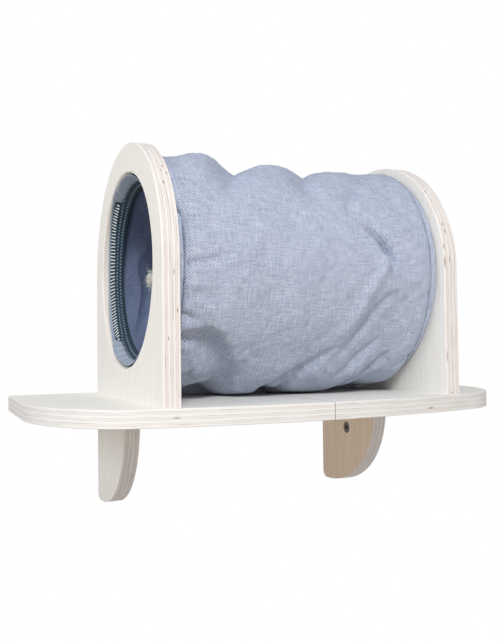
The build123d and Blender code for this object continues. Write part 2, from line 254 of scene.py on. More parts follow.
def makePlywood(name, layerAxis, layerStart, grainAxis, knots=(), seam=False, changes=None):
    p = {**plywood, **(changes or {})}
    material, tree, shader = newMaterial(name, p["roughness"])
    coord = addNode(tree, "TexCoord")
    onPiece = (coord, "Object")
    place = addNode(tree, "SeparateXYZ", Vector=onPiece)
    normal = addNode(tree, "NewGeometry")
    side = addNode(tree, "SeparateXYZ", Vector=(normal, "True Normal"))
    facing = addNode(tree, "Math", "ABSOLUTE", (side, layerAxis))
    isFace = addNode(tree, "MapRange", None, facing, *p["faceTurn"])
    # grain streaks run along the face
    scale = [1 / (p["streakMm"] * mm)] * 3
    scale["XYZ".index(grainAxis)] = 1 / (p["streakLengthMm"] * mm)
    grainMap = addNode(tree, "Mapping", Vector=onPiece, Scale=scale)
    grain = addNode(tree, "TexNoise", Vector=grainMap, Scale=1.0, Detail=4.0, Roughness=0.6)
    face = addNode(tree, "ValToRGB", Fac=(grain, "Fac"))
    setRamp(face, list(zip(p["streakRange"], (p["faceStreakHex"], p["faceHex"]))))
    # plies through the thickness
    depth = addNode(tree, "Math", "SUBTRACT", (place, layerAxis), layerStart)
    sway = addNode(tree, "TexNoise", Vector=onPiece, Scale=p["wavers"], Detail=2.0)
    size = p["waverMm"] * mm
    swaySize = addNode(tree, "Math", "MULTIPLY_ADD", (sway, "Fac"), size, -size / 2)
    swayed = addNode(tree, "Math", "ADD", depth, swaySize)
    plyPlace = addNode(tree, "Math", "MULTIPLY", swayed, p["plies"] / board)
    plyShare = addNode(tree, "Math", "FRACT", plyPlace)
    plyIndex = addNode(tree, "Math", "FLOOR", plyPlace)
    plyOdd = addNode(tree, "Math", "PINGPONG", plyIndex, 1.0)
    fibre = addNode(tree, "TexNoise", Vector=onPiece, Scale=p["fibres"], Detail=3.0)
    edgeTone = addNode(tree, "Math", "MULTIPLY_ADD", (fibre, "Fac"), p["fibreTone"], -p["fibreTone"] / 2)
    edgeMix = addNode(tree, "Math", {"operation": "ADD", "use_clamp": True}, plyOdd, edgeTone)
    edge = addNode(tree, "ValToRGB", Fac=edgeMix)
    setRamp(edge, [(0.0, p["edgeLightHex"]), (1.0, p["edgeDarkHex"])])
    # each glue line fades in and out on its own
    fromLine = addNode(tree, "Math", "PINGPONG", plyShare, 0.5)
    across = [p["glueFades"][0]] * 3
    across["XYZ".index(layerAxis)] = p["glueFades"][1]
    glueMap = addNode(tree, "Mapping", Vector=onPiece, Scale=across)
    glueBreak = addNode(tree, "TexNoise", Vector=glueMap, Scale=1.0, Detail=3.0)
    glueWidth = addNode(tree, "Math", "MULTIPLY", (glueBreak, "Fac"), 2 * p["glueShare"])
    glue = addNode(tree, "Math", "LESS_THAN", fromLine, glueWidth)
    glueDark = addNode(tree, "Math", {"operation": "MULTIPLY_ADD", "use_clamp": True},
                       (glueBreak, "Fac"), *p["glueTone"])
    glueFade = addNode(tree, "Math", "MULTIPLY", glue, glueDark)
    colours = {"data_type": "RGBA"}
    edgeLined = addNode(tree, "Mix", colours, glueFade, i6=(edge, "Color"), i7=linear(p["glueHex"]))
    last = addNode(tree, "Mix", colours, isFace, i6=(edgeLined, 2), i7=(face, "Color"))
    for spot, size in knots:
        offset = addNode(tree, "VectorMath", "SUBTRACT", onPiece, spot)
        squash = addNode(tree, "VectorMath", "DIVIDE", offset, size)
        away = addNode(tree, "VectorMath", "LENGTH", squash)
        near = addNode(tree, "MapRange", None, (away, "Value"), 1.0, 0.3, 0.0, p["knotDark"])
        last = addNode(tree, "Mix", colours, near, i6=(last, 2), i7=linear(p["knotHex"]))
    if seam:
        fromSeam = addNode(tree, "Math", "ABSOLUTE", (place, "X"))
        onSeam = addNode(tree, "Math", "LESS_THAN", fromSeam, p["seamHalfMm"] * mm)
        last = addNode(tree, "Mix", colours, onSeam, i6=(last, 2), i7=linear(p["seamHex"]))
    bump = addNode(tree, "Bump", Strength=0.18, Distance=p["grainMm"] * mm, Height=(grain, "Fac"))
    setSockets(tree, shader, {"Base Color": (last, 2), "Normal": bump})
    return material


# Linen-look polyester, plain woven of a pale and a blue-grey thread: matt and flecked, with slubs
# along both threads
cloth = {
    "warpHex": "#D2D9E8",
    "weftHex": "#8591AA",
    "threadMm": 1.6,               # real thread is about 0.5 mm; drawn coarser so that it shows
    "slubMm": 14.0,
    "slubTone": (2.1, -0.70),      # contrast and level of the slubs
    "warpShare": 0.36,             # how much paler the threads on top are
    "lowered": 0.15,
    "wobble": 0.5,                 # of a thread, sideways
    "roughness": 0.92,
    "bumpMm": 0.25,
    "sheen": 0.06,
}


def makeCloth(name, **changes):
    c = {**cloth, **changes}
    material, tree, shader = newMaterial(name, c["roughness"])
    coord = addNode(tree, "TexCoord")
    scaled = addNode(tree, "VectorMath", "SCALE", (coord, "UV"), Scale=1 / (c["threadMm"] * mm))
    wobble = addNode(tree, "TexNoise", Vector=scaled, Scale=0.35, Detail=2.0)
    sideways = (c["wobble"], c["wobble"], 0.0)
    wobbled = addNode(tree, "VectorMath", "MULTIPLY_ADD", (wobble, "Color"), sideways, scaled)
    # the two threads cross over and under each other
    axes = addNode(tree, "SeparateXYZ", Vector=wobbled)
    sines = []
    for axis in "XY":
        turn = addNode(tree, "Math", "MULTIPLY", (axes, axis), math.pi)
        sines.append(addNode(tree, "Math", "SINE", turn))
    over = addNode(tree, "Math", "MULTIPLY", *sines)
    isWarp = addNode(tree, "MapRange", None, over, -0.35, 0.35)
    slubs = []
    share = c["threadMm"] / c["slubMm"]
    for stretch in ((1.0, share, 1.0), (share, 1.0, 1.0)):
        along = addNode(tree, "VectorMath", "MULTIPLY", wobbled, stretch)
        slubs.append(addNode(tree, "TexNoise", Vector=along, Scale=0.9, Detail=3.0, Roughness=0.7))
    slubMix = addNode(tree, "Mix", {"data_type": "FLOAT"}, isWarp,
                      i2=(slubs[0], "Fac"), i3=(slubs[1], "Fac"))
    clamped = {"operation": "MULTIPLY_ADD", "use_clamp": True}
    tone = addNode(tree, "Math", clamped, slubMix, *c["slubTone"])
    threads = addNode(tree, "Math", clamped, isWarp, c["warpShare"], tone)
    lowered = addNode(tree, "Math", {"operation": "SUBTRACT", "use_clamp": True}, threads, c["lowered"])
    colour = addNode(tree, "ValToRGB", Fac=lowered)
    setRamp(colour, [(0.0, c["weftHex"]), (1.0, c["warpHex"])])
    height = addNode(tree, "Math", "ABSOLUTE", over)
    both = addNode(tree, "Math", "MULTIPLY_ADD", tone, 0.8, height)
    bump = addNode(tree, "Bump", Strength=0.5, Distance=c["bumpMm"] * mm, Height=both)
    setSockets(tree, shader, {"Base Color": colour, "Normal": bump, "Sheen Weight": c["sheen"],
                              "Sheen Roughness": 0.5, "Specular IOR Level": 0.1})
    return material


def makePlain(name, hexLow, hexHigh, roughness, grainMm, metallic=0.0, bumpMm=0.1):
    # A surface of one stuff, with fine mottling at a given grain
    material, tree, shader = newMaterial(name, roughness)
    coord = addNode(tree, "TexCoord")
    mottle = addNode(tree, "TexNoise", Vector=(coord, "Object"), Scale=1 / (grainMm * mm), Detail=4.0,
                     Roughness=0.65)
    colour = addNode(tree, "ValToRGB", Fac=(mottle, "Fac"))
    setRamp(colour, [(0.3, hexLow), (0.7, hexHigh)])
    bump = addNode(tree, "Bump", Strength=0.4, Distance=bumpMm * mm, Height=(mottle, "Fac"))
    setSockets(tree, shader, {"Base Color": colour, "Normal": bump, "Metallic": metallic})
    return material


def knotAt(x, y, z, width, height):
    # A dark knot or split, by its place above the shelf, in millimetres
    return (x * mm, y * mm, shelfTop + z * mm), (width * mm, 3 * mm, height * mm)


frontY = archLow[1] / mm
leftKnots = [
    knotAt(-160.5, frontY, 178.5, 1.4, 2.6),
    knotAt(-158.3, -248.8, 228.1, 0.8, 3.0),
    knotAt(-160.5, -241.7, 236.5, 0.9, 2.6),
    knotAt(-164.0, -256.8, 217.1, 1.0, 3.0),
    knotAt(-163.0, -246.4, 231.2, 0.7, 2.4),
    knotAt(-161.5, frontY, 128.0, 0.6, 4.0),
    knotAt(-158.2, frontY, 91.8, 0.8, 3.0),
    knotAt(-167.3, frontY, 65.1, 0.7, 2.6),
]
rightKnots = [
    knotAt(161.7, -269.3, 192.6, 0.9, 4.0),
    knotAt(161.9, -272.3, 184.1, 0.9, 5.0),
    knotAt(156.7, -276.8, 166.2, 1.0, 5.0),
    knotAt(156.3, -278.8, 148.0, 1.2, 9.0),
    knotAt(163.0, -278.5, 151.5, 0.8, 6.0),
    knotAt(158.2, -243.5, 234.5, 0.8, 4.0),
    knotAt(156.4, frontY, 43.0, 0.6, 9.0),
    knotAt(162.9, frontY, 2.1, 2.2, 0.8),
]
shelfKnots = [knotAt(126.0, -288, -12.5, 5.0, 1.0), knotAt(-160.5, -281, -9.0, 5.0, 0.9)]

archPlyLeft = makePlywood("birchPlywoodArchLeft", "X", -outerFace, "Z", leftKnots)
archPlyRight = makePlywood("birchPlywoodArchRight", "X", innerFace, "Z", rightKnots)
# the brackets took less of the wash
bracketPlyLeft = makePlywood("birchPlywoodBracketLeft", "X", -outerFace, "Z",
                             changes={"edgeLightHex": "#D4D2D1", "edgeDarkHex": "#C7C5C4",
                                      "glueHex": "#7F736B"})
bracketPlyRight = makePlywood("birchPlywoodBracketRight", "X", innerFace, "Z",
                              changes={"faceHex": "#E6D5C4", "faceStreakHex": "#DBC8B4",
                                       "edgeLightHex": "#D6D5D6", "edgeDarkHex": "#CAC8CA"})
shelfPly = makePlywood("birchPlywoodShelf", "Z", shelfLow[2], "X", shelfKnots, seam=True,
                       changes={"glueHex": "#AEA7A2", "edgeLightHex": "#DFDEDD", "edgeDarkHex": "#D6D4D2",
                                "waverMm": 1.5})
coverCloth = makeCloth("linenLookCover")
# woven lining, darker and more even than the cover
liningCloth = makeCloth("wovenLining", warpHex="#8C9ABA", weftHex="#5D6A89", threadMm=1.5, slubMm=12.0,
                        roughness=0.9)
# the same weave turned out into the holes, painted paler for the light it takes there: painted light
collarClothPaintedLight = makeCloth("collarClothPaintedLight", warpHex="#A9B4C2", weftHex="#8794A6", threadMm=1.3, slubMm=10.0,
                        roughness=0.9)
# the overlocked cut edge, coloured dark teal for the shade at the sides of the holes: painted shade on a
# real strip
overlockClothPaintedShade = makeCloth("overlockedEdgePaintedShade", warpHex="#3F525E", weftHex="#22333D", threadMm=1.3,
                          slubMm=8.0, roughness=0.9)
# spun polyester sewing thread, a little fuzzy: soft lights and no clear highlight
thread = makePlain("polyesterThreadPale", "#CFD9E2", "#F2F6F9", 0.6, 0.6)
seamThread = makePlain("polyesterThreadSlate", "#5F6B86", "#7B87A2", 0.7, 0.6)
threadGrey = makePlain("polyesterThreadGrey", "#74829A", "#8D9AB0", 0.6, 0.6)
# carded polyester fibre, loose and white: matt and lumpy
waddingFibre = makePlain("fibreWadding", "#DCDDD6", "#F6F6F2", 0.95, 1.4, bumpMm=0.6)
# moulded nylon hooks on a woven tape: an even, dull field
hookTape = makePlain("hookTapeNylon", "#D0CBC1", "#E7E3DA", 0.8, 0.9)
# zinc as cast, coloured dark brown-grey: dull, with a slight metal sheen
zincDark = makePlain("zincCastCam", "#4A433C", "#6A625A", 0.5, 1.2, metallic=0.5)
# pressed steel, bright zinc plated: cool grey with soft reflections
zincBright = makePlain("zincPlatedSteel", "#8E8C86", "#A7A5A0", 0.38, 1.5, metallic=0.9, bumpMm=0.03)
# drawn wire: smooth, bright grey
springSteel = makePlain("springSteelWire", "#76787C", "#8D9094", 0.32, 1.5, metallic=1.0, bumpMm=0.02)
# turned beech, left raw: warm and matt
beech = makePlain("beechDowel", "#C29E73", "#D9BB92", 0.6, 2.0)
print("materials made")

# CAD nodes that keep their shape get their material here
nodeMaterials = {
    "shelf_board_left": shelfPly, "shelf_board_right": shelfPly,
    "arch_panel_left": archPlyLeft, "arch_panel_right": archPlyRight,
    "bracket_left": bracketPlyLeft, "bracket_right": bracketPlyRight,
    "seam_dowels": beech, "through_dowels": beech,
    "bracket_cam_left": zincDark, "bracket_cam_right": zincDark,
    "cam_bolt_left": zincBright, "cam_bolt_right": zincBright, "arch_screws": zincBright,
    "hanger_plate_left": zincBright, "hanger_plate_right": zincBright, "hanger_screws": zincBright,
    "end_hoop_left": springSteel, "end_hoop_right": springSteel,
    "bore_tape_left": hookTape, "bore_tape_right": hookTape,
}
for nodeName, nodeMaterial in nodeMaterials.items():
    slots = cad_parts[nodeName].data.materials
    slots.clear()
    slots.append(nodeMaterial)
print("boards and fittings dressed")

# Sleeve cover. Outlines are (place along, reach) and folds are lines of (place along, degrees
# round, depth, flank width), each after its share of sharpness; sizes in millimetres.
hemReach = (hemHigh[2] - hemLow[2]) / 2 / mm
sleeve = {
    "halfLength": coverHigh[0] / mm,
    "endReach": 126.5,
    "sideReach": 133.0,
    "endRound": 14.0,
    "endRoundTop": 6.0,
    "endReachTop": 128.5,
    "lapGap": -2.1,
    "swell": 4.0,
    "swellReach": 131.0,           # of the bottom's outline, above which its lobes swell
    "swellFrom": (40, 62),         # degrees below the front
    "swellTo": (68, 86),
    "endRise": (0.35, 0.85),       # rise over which an end takes its top reach and roundness
    "tuckMm": 1.3,
    "unrollRadius": 130.0,
    "cuspRound": 0.05,
    "ripples": ((1.8, 42, 3), (0.9, 18, 8), (0.25, 7, 5)),   # size, wave and seed
    "calmMm": 20.0,                # over which the ripples die out towards the ends
    "calmLeast": 0.15,
    "gapMm": 0.4,                  # kept to the shelf and to the hem band's outer side
    "lapMm": 16.0,                 # of the left end, which tucks in behind its band or laps over it
    "columns": 330,
    "rows": 125,
    "thicknessMm": 1.0,
    "topReach": 131.0,
    "topOutline": (
        (-146, 128), (-130, 127.4), (-120, 129.2), (-108, 132.4), (-96, 134.0), (-86, 133.4),
        (-78, 130.4), (-69, 124.8), (-60, 118.6), (-51, 113.6), (-42, 118.8), (-32, 123.6),
        (-20, 127.6), (-8, 129.2),
        (4, 128.8), (15, 127.3), (27, 123), (37, 118.2), (47, 122.5), (59, 125.2), (69, 127.1),
        (80, 128.4), (91, 128.5), (103, 127.9), (114, 128), (125, 129.5), (136, 131), (146, 131.5)),
    "topLeanMm": 58.0,
    "topFade": (20, 68),           # degrees, on the front
    "topBack": (150, 235),         # degrees, on the wall side
    "bottomReach": 137.0,
    "bottomOutline": (
        (-146, 132), (-125, 131), (-107, 126), (-92, 125.5), (-84, 130), (-70, 137.7), (-58, 140.2),
        (-45, 140.3), (-33, 138.6), (-20, 135.5), (-10, 132.8), (-3, 137.2), (6, 140), (20, 141),
        (39, 141.2), (53, 140.9), (67, 138.2), (86, 134), (93, 132.6), (110, 134.3), (128, 135.8),
        (138, 134), (146, 131)),
    "bottomLeanMm": 40.0,
    "bottomFade": (8, 44),         # degrees, up from the lowest line
    "behindReach": 153.0,
    "folds": (
        (0.15, ((-142, -33, 0, 14), (-131, -34, 8, 17), (-121, -36, 15, 21), (-112, -39, 20, 24),
                (-103, -44, 19, 24), (-94, -51, 15, 22), (-84, -60, 9, 20), (-76, -72, 3, 16),
                (-78, -86, 0, 14))),
        (0.1, ((-134, -17, 0, 12), (-118, -21, -2.2, 13), (-103, -30, -3.0, 14), (-91, -40, -2.2, 13),
               (-82, -52, 0, 12))),
        (0.8, ((-150, -36.5, 12, 9), (-141, -36.5, 12, 10), (-133, -37, 8, 11), (-124, -38, 3, 12),
               (-116, -39, 0, 10))),
        (0.3, ((-147, -30, -1.5, 6), (-137, -30, -2.2, 7), (-127, -30.5, -1.2, 7), (-118, -31, 0, 7))),
        (0.0, ((-152, -46, 5.5, 22), (-140, -46, 6, 24), (-128, -48, 4.5, 22), (-114, -52, 0, 16))),
        (0.3, ((-140, -48, 0, 8), (-130, -47, -1.6, 9), (-122, -50, -2.4, 10), (-116, -57, -2.0, 10),
               (-114, -64, 0, 10))),
        (0.8, ((-150, -62, 5, 8), (-127, -59, 4.5, 8), (-121, -54, 2, 9), (-117, -49, 0, 8))),
        (0.1, ((-142, -74, -2, 14), (-120, -68, -3, 16), (-100, -66, -2.5, 14), (-90, -70, 0, 12))),
        (0.7, ((-148, 42, 2.5, 9), (-136, 41, 2.4, 9), (-120, 38, 0, 8))),
        (0.7, ((-148, 18, 4.6, 9), (-137, 17, 4.0, 9), (-122, 15, 1.2, 9), (-108, 12, 0, 8))),
        (0.6, ((-148, 8, -2.0, 7), (-134, 8, -1.8, 8), (-118, 7, 0, 8))),
        (0.7, ((-148, -3, 5.2, 9), (-134, -1, 4.6, 10), (-117, 0, 2, 10), (-92, 3, 0, 9))),
        (0.6, ((-148, -11, -2.2, 7), (-132, -11, -2.0, 8), (-112, -12, 0, 8))),
        (0.8, ((-150, -23.5, 8, 7), (-140, -24.5, 8, 8), (-131, -26, 3.6, 9), (-120, -29, 0, 9))),
        (0.5, ((-14, -90, 6, 14), (-22, -80, 9, 14), (-26, -69, 10, 14), (-13, -61, 9, 13),
               (3, -55, 7, 13), (24, -46, 4.5, 13), (44, -37, 0, 12))),
        (0.3, ((28, -53, 0, 12), (42, -45, 2.4, 12), (55, -38, 5, 13), (66, -30, 6, 13),
               (76, -21, 5.5, 12), (88, -15, 3.5, 11), (101, -12, 0.8, 10), (108, -11, 0, 9))),
        (0.0, ((50, -52, 0, 24), (66, -44, 4.5, 26), (80, -35, 6.5, 28), (91, -27, 6.5, 27),
               (100, -20, 4.5, 24), (108, -13, 0, 18))),
        (0.0, ((84, -58, 0, 26), (100, -46, 4, 28), (112, -32, 4.5, 26), (118, -18, 2.5, 22),
               (120, -6, 0, 18))),
        (0.2, ((38, -32, -2.2, 14), (52, -23, -3.4, 14), (63, -13, -3.6, 13), (76, -4, -3.2, 12),
               (88, 5, -1.2, 10))),
        (0.85, ((74, -90, 8, 13), (68, -80, 12, 13), (70, -72, 13, 13), (80, -64, 12, 12),
                (93, -57, 9.5, 11), (106, -48, 4, 11), (115, -41, 0, 10))),
        (0.5, ((50, 22, 0, 8), (62, 19.5, 3.5, 8), (70, 17, 8, 9), (77, 14, 13, 10), (83, 10.5, 17, 10.5),
               (89, 7, 18, 10.5), (93, 3.5, 12, 9), (93.5, 0.5, 5, 8), (92, -3, 0, 7))),
        (0.2, ((52, 13, 0, 11), (66, 10, -2.6, 12), (77, 4, -3.8, 12), (83, -2, -2.2, 11),
               (84, -8, 0, 10))),
        (0.3, ((42, 24, 0, 10), (48, 31, 2.6, 11), (58, 38, 3.4, 12), (72, 42, 2.8, 12),
               (90, 44, 0, 10))),
        (0.4, ((96, -34, 0, 10), (88, -39, 3.0, 11), (77, -45, 4.4, 12), (67, -50, 4.4, 12),
               (57, -56, 3, 11), (46, -62, 0, 10))),
        (0.8, ((110, -88, 0, 9), (124, -84, 5, 12), (138, -76, 6, 13), (147, -66, 5, 12))),
        (0.7, ((147, -46, 3.0, 9), (136, -50, 2.4, 9), (124, -57, 0, 9))),
        (0.5, ((147, -12, 1.8, 9), (138, -14, 1.4, 9), (126, -18, 0, 9))),
        (0.1, ((-70, -14, 0, 18), (-48, -26, 2.0, 22), (-28, -40, 2.4, 22), (-14, -54, 0, 18))),
        (0.1, ((-20, 50, 0, 22), (-30, 34, 1.8, 24), (-26, 12, 1.0, 24), (-16, -4, 0, 20))),
        (0.1, ((18, 62, 2.2, 22), (8, 44, 2.6, 22), (10, 24, 1.0, 20), (20, 8, 0, 18))),
        (0.1, ((112, 60, 0, 20), (104, 44, 2.2, 20), (100, 30, 0, 18))),
        (0.3, ((-92, 210, 4, 26), (-60, 236, 6, 26), (-30, 262, 5, 24))),
        (0.3, ((30, 196, 4, 26), (52, 224, 6, 26), (84, 262, 5, 24))),
    ),
}


def foldDepth(x, degrees, s):
    # How far the folds draw the cloth in at each point; ridges have a negative depth
    perDegree = math.radians(1) * s["unrollRadius"]
    blunt = s["cuspRound"]
    total = np.zeros_like(x)
    for sharpness, line in s["folds"]:
        best = np.zeros_like(x)
        for (x0, a0, d0, w0), (x1, a1, d1, w1) in zip(line, line[1:]):
            for turn in (-360, 0, 360):
                px, pa = x - x0, (degrees + turn - a0) * perDegree
                sx, sa = x1 - x0, (a1 - a0) * perDegree
                share = np.clip((px * sx + pa * sa) / (sx * sx + sa * sa), 0, 1)
                away = np.hypot(px - share * sx, pa - share * sa)
                near = np.clip(1 - away / (w0 + share * (w1 - w0)), 0, 1)
                soft = near * near * (3 - 2 * near)
                cusp = (1 - np.sqrt(1 + blunt ** 2 - near ** 2)) / (1 - blunt)
                value = (d0 + share * (d1 - d0)) * (soft + sharpness * (cusp - soft))
                best = np.where(np.abs(value) > np.abs(best), value, best)
        total += best
    return total


def softStep(value, low, high):
    share = np.clip((value - low) / (high - low), 0, 1)
    return share * share * (3 - 2 * share)


def waver(points, size, seed):
    # Smooth random numbers at points, about -1 to 1, with a wave of the given size
    return np.array([noise.noise(Vector(p) / size + Vector((seed, seed * 1.7, 0))) for p in points])


def ripplesAt(points, waves):
    return sum(size * waver(points, wave, seed) for size, wave, seed in waves)


def outlineAt(x, outline, middle):
    # An outline's height over its middle reach, with its corners rounded
    places, reaches = zip(*outline)
    near = [np.interp(x + shift, places, reaches) for shift in (-1.8, 0, 1.8)]
    return sum(near) / len(near) - middle


def endLap(degrees):
    # Share by which the cover's left end slips over its hem band; it shows only along the front
    turned = (degrees + 180) % 360 - 180
    return np.maximum(softStep(turned, 16, 30), softStep(-turned, 27, 41))


def sleeveReach(x, degrees, s):
    # The cover's outer reach from the axis, in millimetres
    turned = (degrees + 90) % 360 - 90
    rise = np.sin(np.radians(turned))
    far = np.where(rise > 0, s["topReach"], s["bottomReach"])
    full = s["sideReach"] + (far - s["sideReach"]) * rise ** 2
    # the top's bulges fade down the front and run on, leaning, down the wall side
    topLean = s["topLeanMm"] * np.clip(turned - 76, -54, 60) / 60
    topShare = np.where(turned < 90, softStep(turned, *s["topFade"]), 1 - softStep(turned, *s["topBack"]))
    full = full + topShare * outlineAt(x - topLean, s["topOutline"], s["topReach"])
    # the bottom's bulges fade up the front; behind them the cloth lies on the shelf
    round360 = degrees % 360
    bottomShare = 1 - softStep(np.abs(round360 - 270), *s["bottomFade"])
    bottomLean = s["bottomLeanMm"] * (round360 - 274) / 90
    bottom = outlineAt(x - bottomLean, s["bottomOutline"], s["bottomReach"])
    behind = softStep(268 - round360, 0, 14)
    bottom = bottom + behind * (np.maximum(bottom, s["behindReach"] - s["bottomReach"]) - bottom)
    full = full + bottomShare * bottom
    # its lobes swell on the lower front
    lobes = np.clip((bottom + s["bottomReach"] - s["swellReach"]) / 8, 0, 1)
    full = full + lobes * s["swell"] * (softStep(-turned, *s["swellFrom"])
                                        * (1 - softStep(-turned, *s["swellTo"])))
    # the ends curve in to the hem bands, and the left one laps over its band
    high = softStep(rise, *s["endRise"])
    endRound = s["endRound"] + np.maximum(high, 0.6 * (x < 0)) * (s["endRoundTop"] - s["endRound"])
    endReach = s["endReach"] + high * (s["endReachTop"] - s["endReach"])
    lap = endLap(degrees) * (x < 0)
    lapReach = hemReach + s["lapGap"]
    endReach = endReach + lap * np.maximum(lapReach - endReach, 0)
    fromEnd = np.clip((s["halfLength"] - np.abs(x)) / endRound, 0, 1)
    endShare = 1 - np.sqrt(1 - (1 - fromEnd) ** 2)
    reach = full - np.maximum(full - endReach, 0) * endShare
    reach = reach - foldDepth(x, degrees, s)
    return np.maximum(reach, lapReach * lap * softStep(-x, s["halfLength"] - 9, s["halfLength"] - 3))


# Cloth simulation of the cover: its ends stay on the hoops and most of it keeps to its folds, while
# the cloth grows a little, which wrinkles it finely
settle = {
    "frames": 18,
    "fabric": {
        "quality": 6,
        "mass": 0.2,
        "tension_stiffness": 12.0,
        "compression_stiffness": 12.0,
        "shear_stiffness": 4.0,
        "bending_stiffness": 3.0,
        "vertex_group_mass": "hold",
        "pin_stiffness": 1.0,
        "shrink_min": -0.010,      # grows by a hundredth
        "use_pressure": True,
        "uniform_pressure_force": 0.6,
    },
    "gravity": 0.25,
    "holdMiddle": 0.68,
    "holdEnds": 0.50,
    "endShare": 0.35,              # of the half length, over which the hold falls to the ends'
    "pinnedFrom": 0.975,           # of the half length
    "capMm": 6.0,
    "gapMm": 0.4,
}


def finer(coarse):
    # Twice the rows and columns, with smooth values in between; columns close round
    wide = np.empty((coarse.shape[0], 2 * coarse.shape[1], 3))
    wide[:, ::2] = coarse
    last, after, second = (np.roll(coarse, shift, 1) for shift in (1, -1, -2))
    wide[:, 1::2] = (9 * (coarse + after) - last - second) / 16
    padded = np.concatenate([wide[:1], wide, wide[-1:]])
    tall = np.empty((2 * coarse.shape[0] - 1, wide.shape[1], 3))
    tall[::2] = wide
    tall[1::2] = (9 * (padded[1:-2] + padded[2:-1]) - padded[:-3] - padded[3:]) / 16
    return tall


def settleCloth(allPoints, allRows, allColumns, allShare, c):
    points = allPoints.reshape(allRows, allColumns, 3)[::2, ::2]
    rows, columns = points.shape[:2]
    points = points.reshape(-1, 3)
    share = allShare.reshape(allRows, allColumns)[::2, ::2].ravel()
    obj = newObject("coverSkin", points, tubeFaces(rows, columns), coverCloth)
    hold = obj.vertex_groups.new(name="hold")
    middle = np.clip((1 - np.abs(share)) / c["endShare"], 0, 1)
    weights = c["holdEnds"] + (c["holdMiddle"] - c["holdEnds"]) * middle
    weights[np.abs(share) > c["pinnedFrom"]] = 1.0
    for index, weight in enumerate(weights):
        hold.add([index], float(weight), "REPLACE")
    modifier = obj.modifiers.new("cloth", "CLOTH")
    for key, value in c["fabric"].items():
        setattr(modifier.settings, key, value)
    modifier.settings.effector_weights.gravity = c["gravity"]
    modifier.collision_settings.use_collision = False
    modifier.collision_settings.use_self_collision = False
    scene = bpy.context.scene
    scene.frame_start, scene.frame_end = 1, c["frames"]
    modifier.point_cache.frame_start, modifier.point_cache.frame_end = 1, c["frames"]
    for step in range(1, c["frames"] + 1):
        scene.frame_set(step)
    settled = obj.evaluated_get(bpy.context.evaluated_depsgraph_get())
    moved = np.array([v.co[:] for v in settled.data.vertices]) - points
    scene.frame_set(1)
    bpy.data.objects.remove(obj)
    length = np.maximum(np.linalg.norm(moved, axis=1), 1e-9)
    cap = c["capMm"] * mm
    print("cloth settled; points moved by", round(float(length.mean() / mm), 2), "mm on average,",
          round(float(length.max() / mm), 2), "at most")
    moved = moved * (np.tanh(length / cap) * cap / length)[:, None]
    points = allPoints + finer(moved.reshape(rows, columns, 3)).reshape(-1, 3)
    points[:, 0] = np.clip(points[:, 0], -hemHigh[0] + c["gapMm"] * mm, coverHigh[0])
    points[:, 2] = np.maximum(points[:, 2], shelfTop + c["gapMm"] * mm)
    return points


def makeSleeve(s):
    rows, columns = s["rows"], s["columns"]
    x, gridX, gridA = tubeGrid(s["halfLength"], rows, columns)
    onTube = aroundAxis(gridX * mm, s["unrollRadius"] * mm, gridA) / mm
    calm = np.clip((s["halfLength"] - np.abs(gridX)) / s["calmMm"], s["calmLeast"], 1)
    reach = sleeveReach(gridX, gridA, s) + ripplesAt(onTube, s["ripples"]) * calm
    # it lies on the shelf, not in it
    floor = (axisZ - shelfTop) / mm - s["gapMm"]
    down = np.maximum(-np.sin(np.radians(gridA)), 1e-6)
    reach = np.where(down > 0.3, np.minimum(reach, floor / down), reach)
    over = hemHigh[0] - coverHigh[0] - (s["gapMm"] + s["tuckMm"]) * mm
    lap = softStep(-gridX, s["halfLength"] - s["lapMm"], s["halfLength"])
    lap = lap * (s["tuckMm"] * mm + endLap(gridA) * over)
    outer = aroundAxis(gridX * mm - lap, reach * mm, gridA)
    outer = settleCloth(outer, rows, columns, gridX / s["halfLength"], settle)
    # the inner skin lies one cloth thickness in, along the outer skin's normals
    skin = newObject("skin", outer, tubeFaces(rows, columns), coverCloth)
    normals = np.array([v.normal[:] for v in skin.data.vertices])
    bpy.data.objects.remove(skin)
    away = outer - np.array([0, axisY, axisZ])
    if (normals * away)[:, 1:].sum() < 0:
        normals = -normals
    inner = outer - normals * s["thicknessMm"] * mm
    inner[:, 0] = np.clip(inner[:, 0], outer[:, 0].min(), outer[:, 0].max())
    obj = newShell("sleeveCover", outer, inner, rows, columns, coverCloth)
    along = list(x * mm) + list(x[::-1] * mm)
    addRingUv(obj, columns, 2 * rows, along, 2 * math.pi * s["unrollRadius"] * mm)
    return obj


cover = makeSleeve(sleeve)
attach(cover, "root")
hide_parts("tunnel_sleeve")
print("sleeve cover made")

# Wadding under the cover, a lumpy layer between cover and lining
wadding = {
    "gapMm": 4.5,
    "thicknessMm": 4.5,
    "leastMm": 0.6,
    "leastReach": 109.5,
    "lumps": (0.5, 14, 2),         # size, wave and seed
    "lumpRadius": 125.0,
    "columns": 160,
    "rows": 70,
}


def makeWadding(w, s):
    x, gridX, gridA = tubeGrid(s["halfLength"] - 1, w["rows"], w["columns"])
    reach = sleeveReach(gridX, gridA, s) - w["gapMm"]
    lumps = np.abs(ripplesAt(aroundAxis(gridX, w["lumpRadius"], gridA), [w["lumps"]]))
    under = np.maximum(reach - w["thicknessMm"] + lumps, w["leastReach"])
    under = np.minimum(under, reach - lumps - w["leastMm"])
    outer = aroundAxis(gridX * mm, (reach - lumps) * mm, gridA)
    inner = aroundAxis(gridX * mm, under * mm, gridA)
    return newShell("waddingLayer", outer, inner, w["rows"], w["columns"], waddingFibre)


waddingLayer = makeWadding(wadding, sleeve)
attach(waddingLayer, "root")
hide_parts("sleeve_padding")

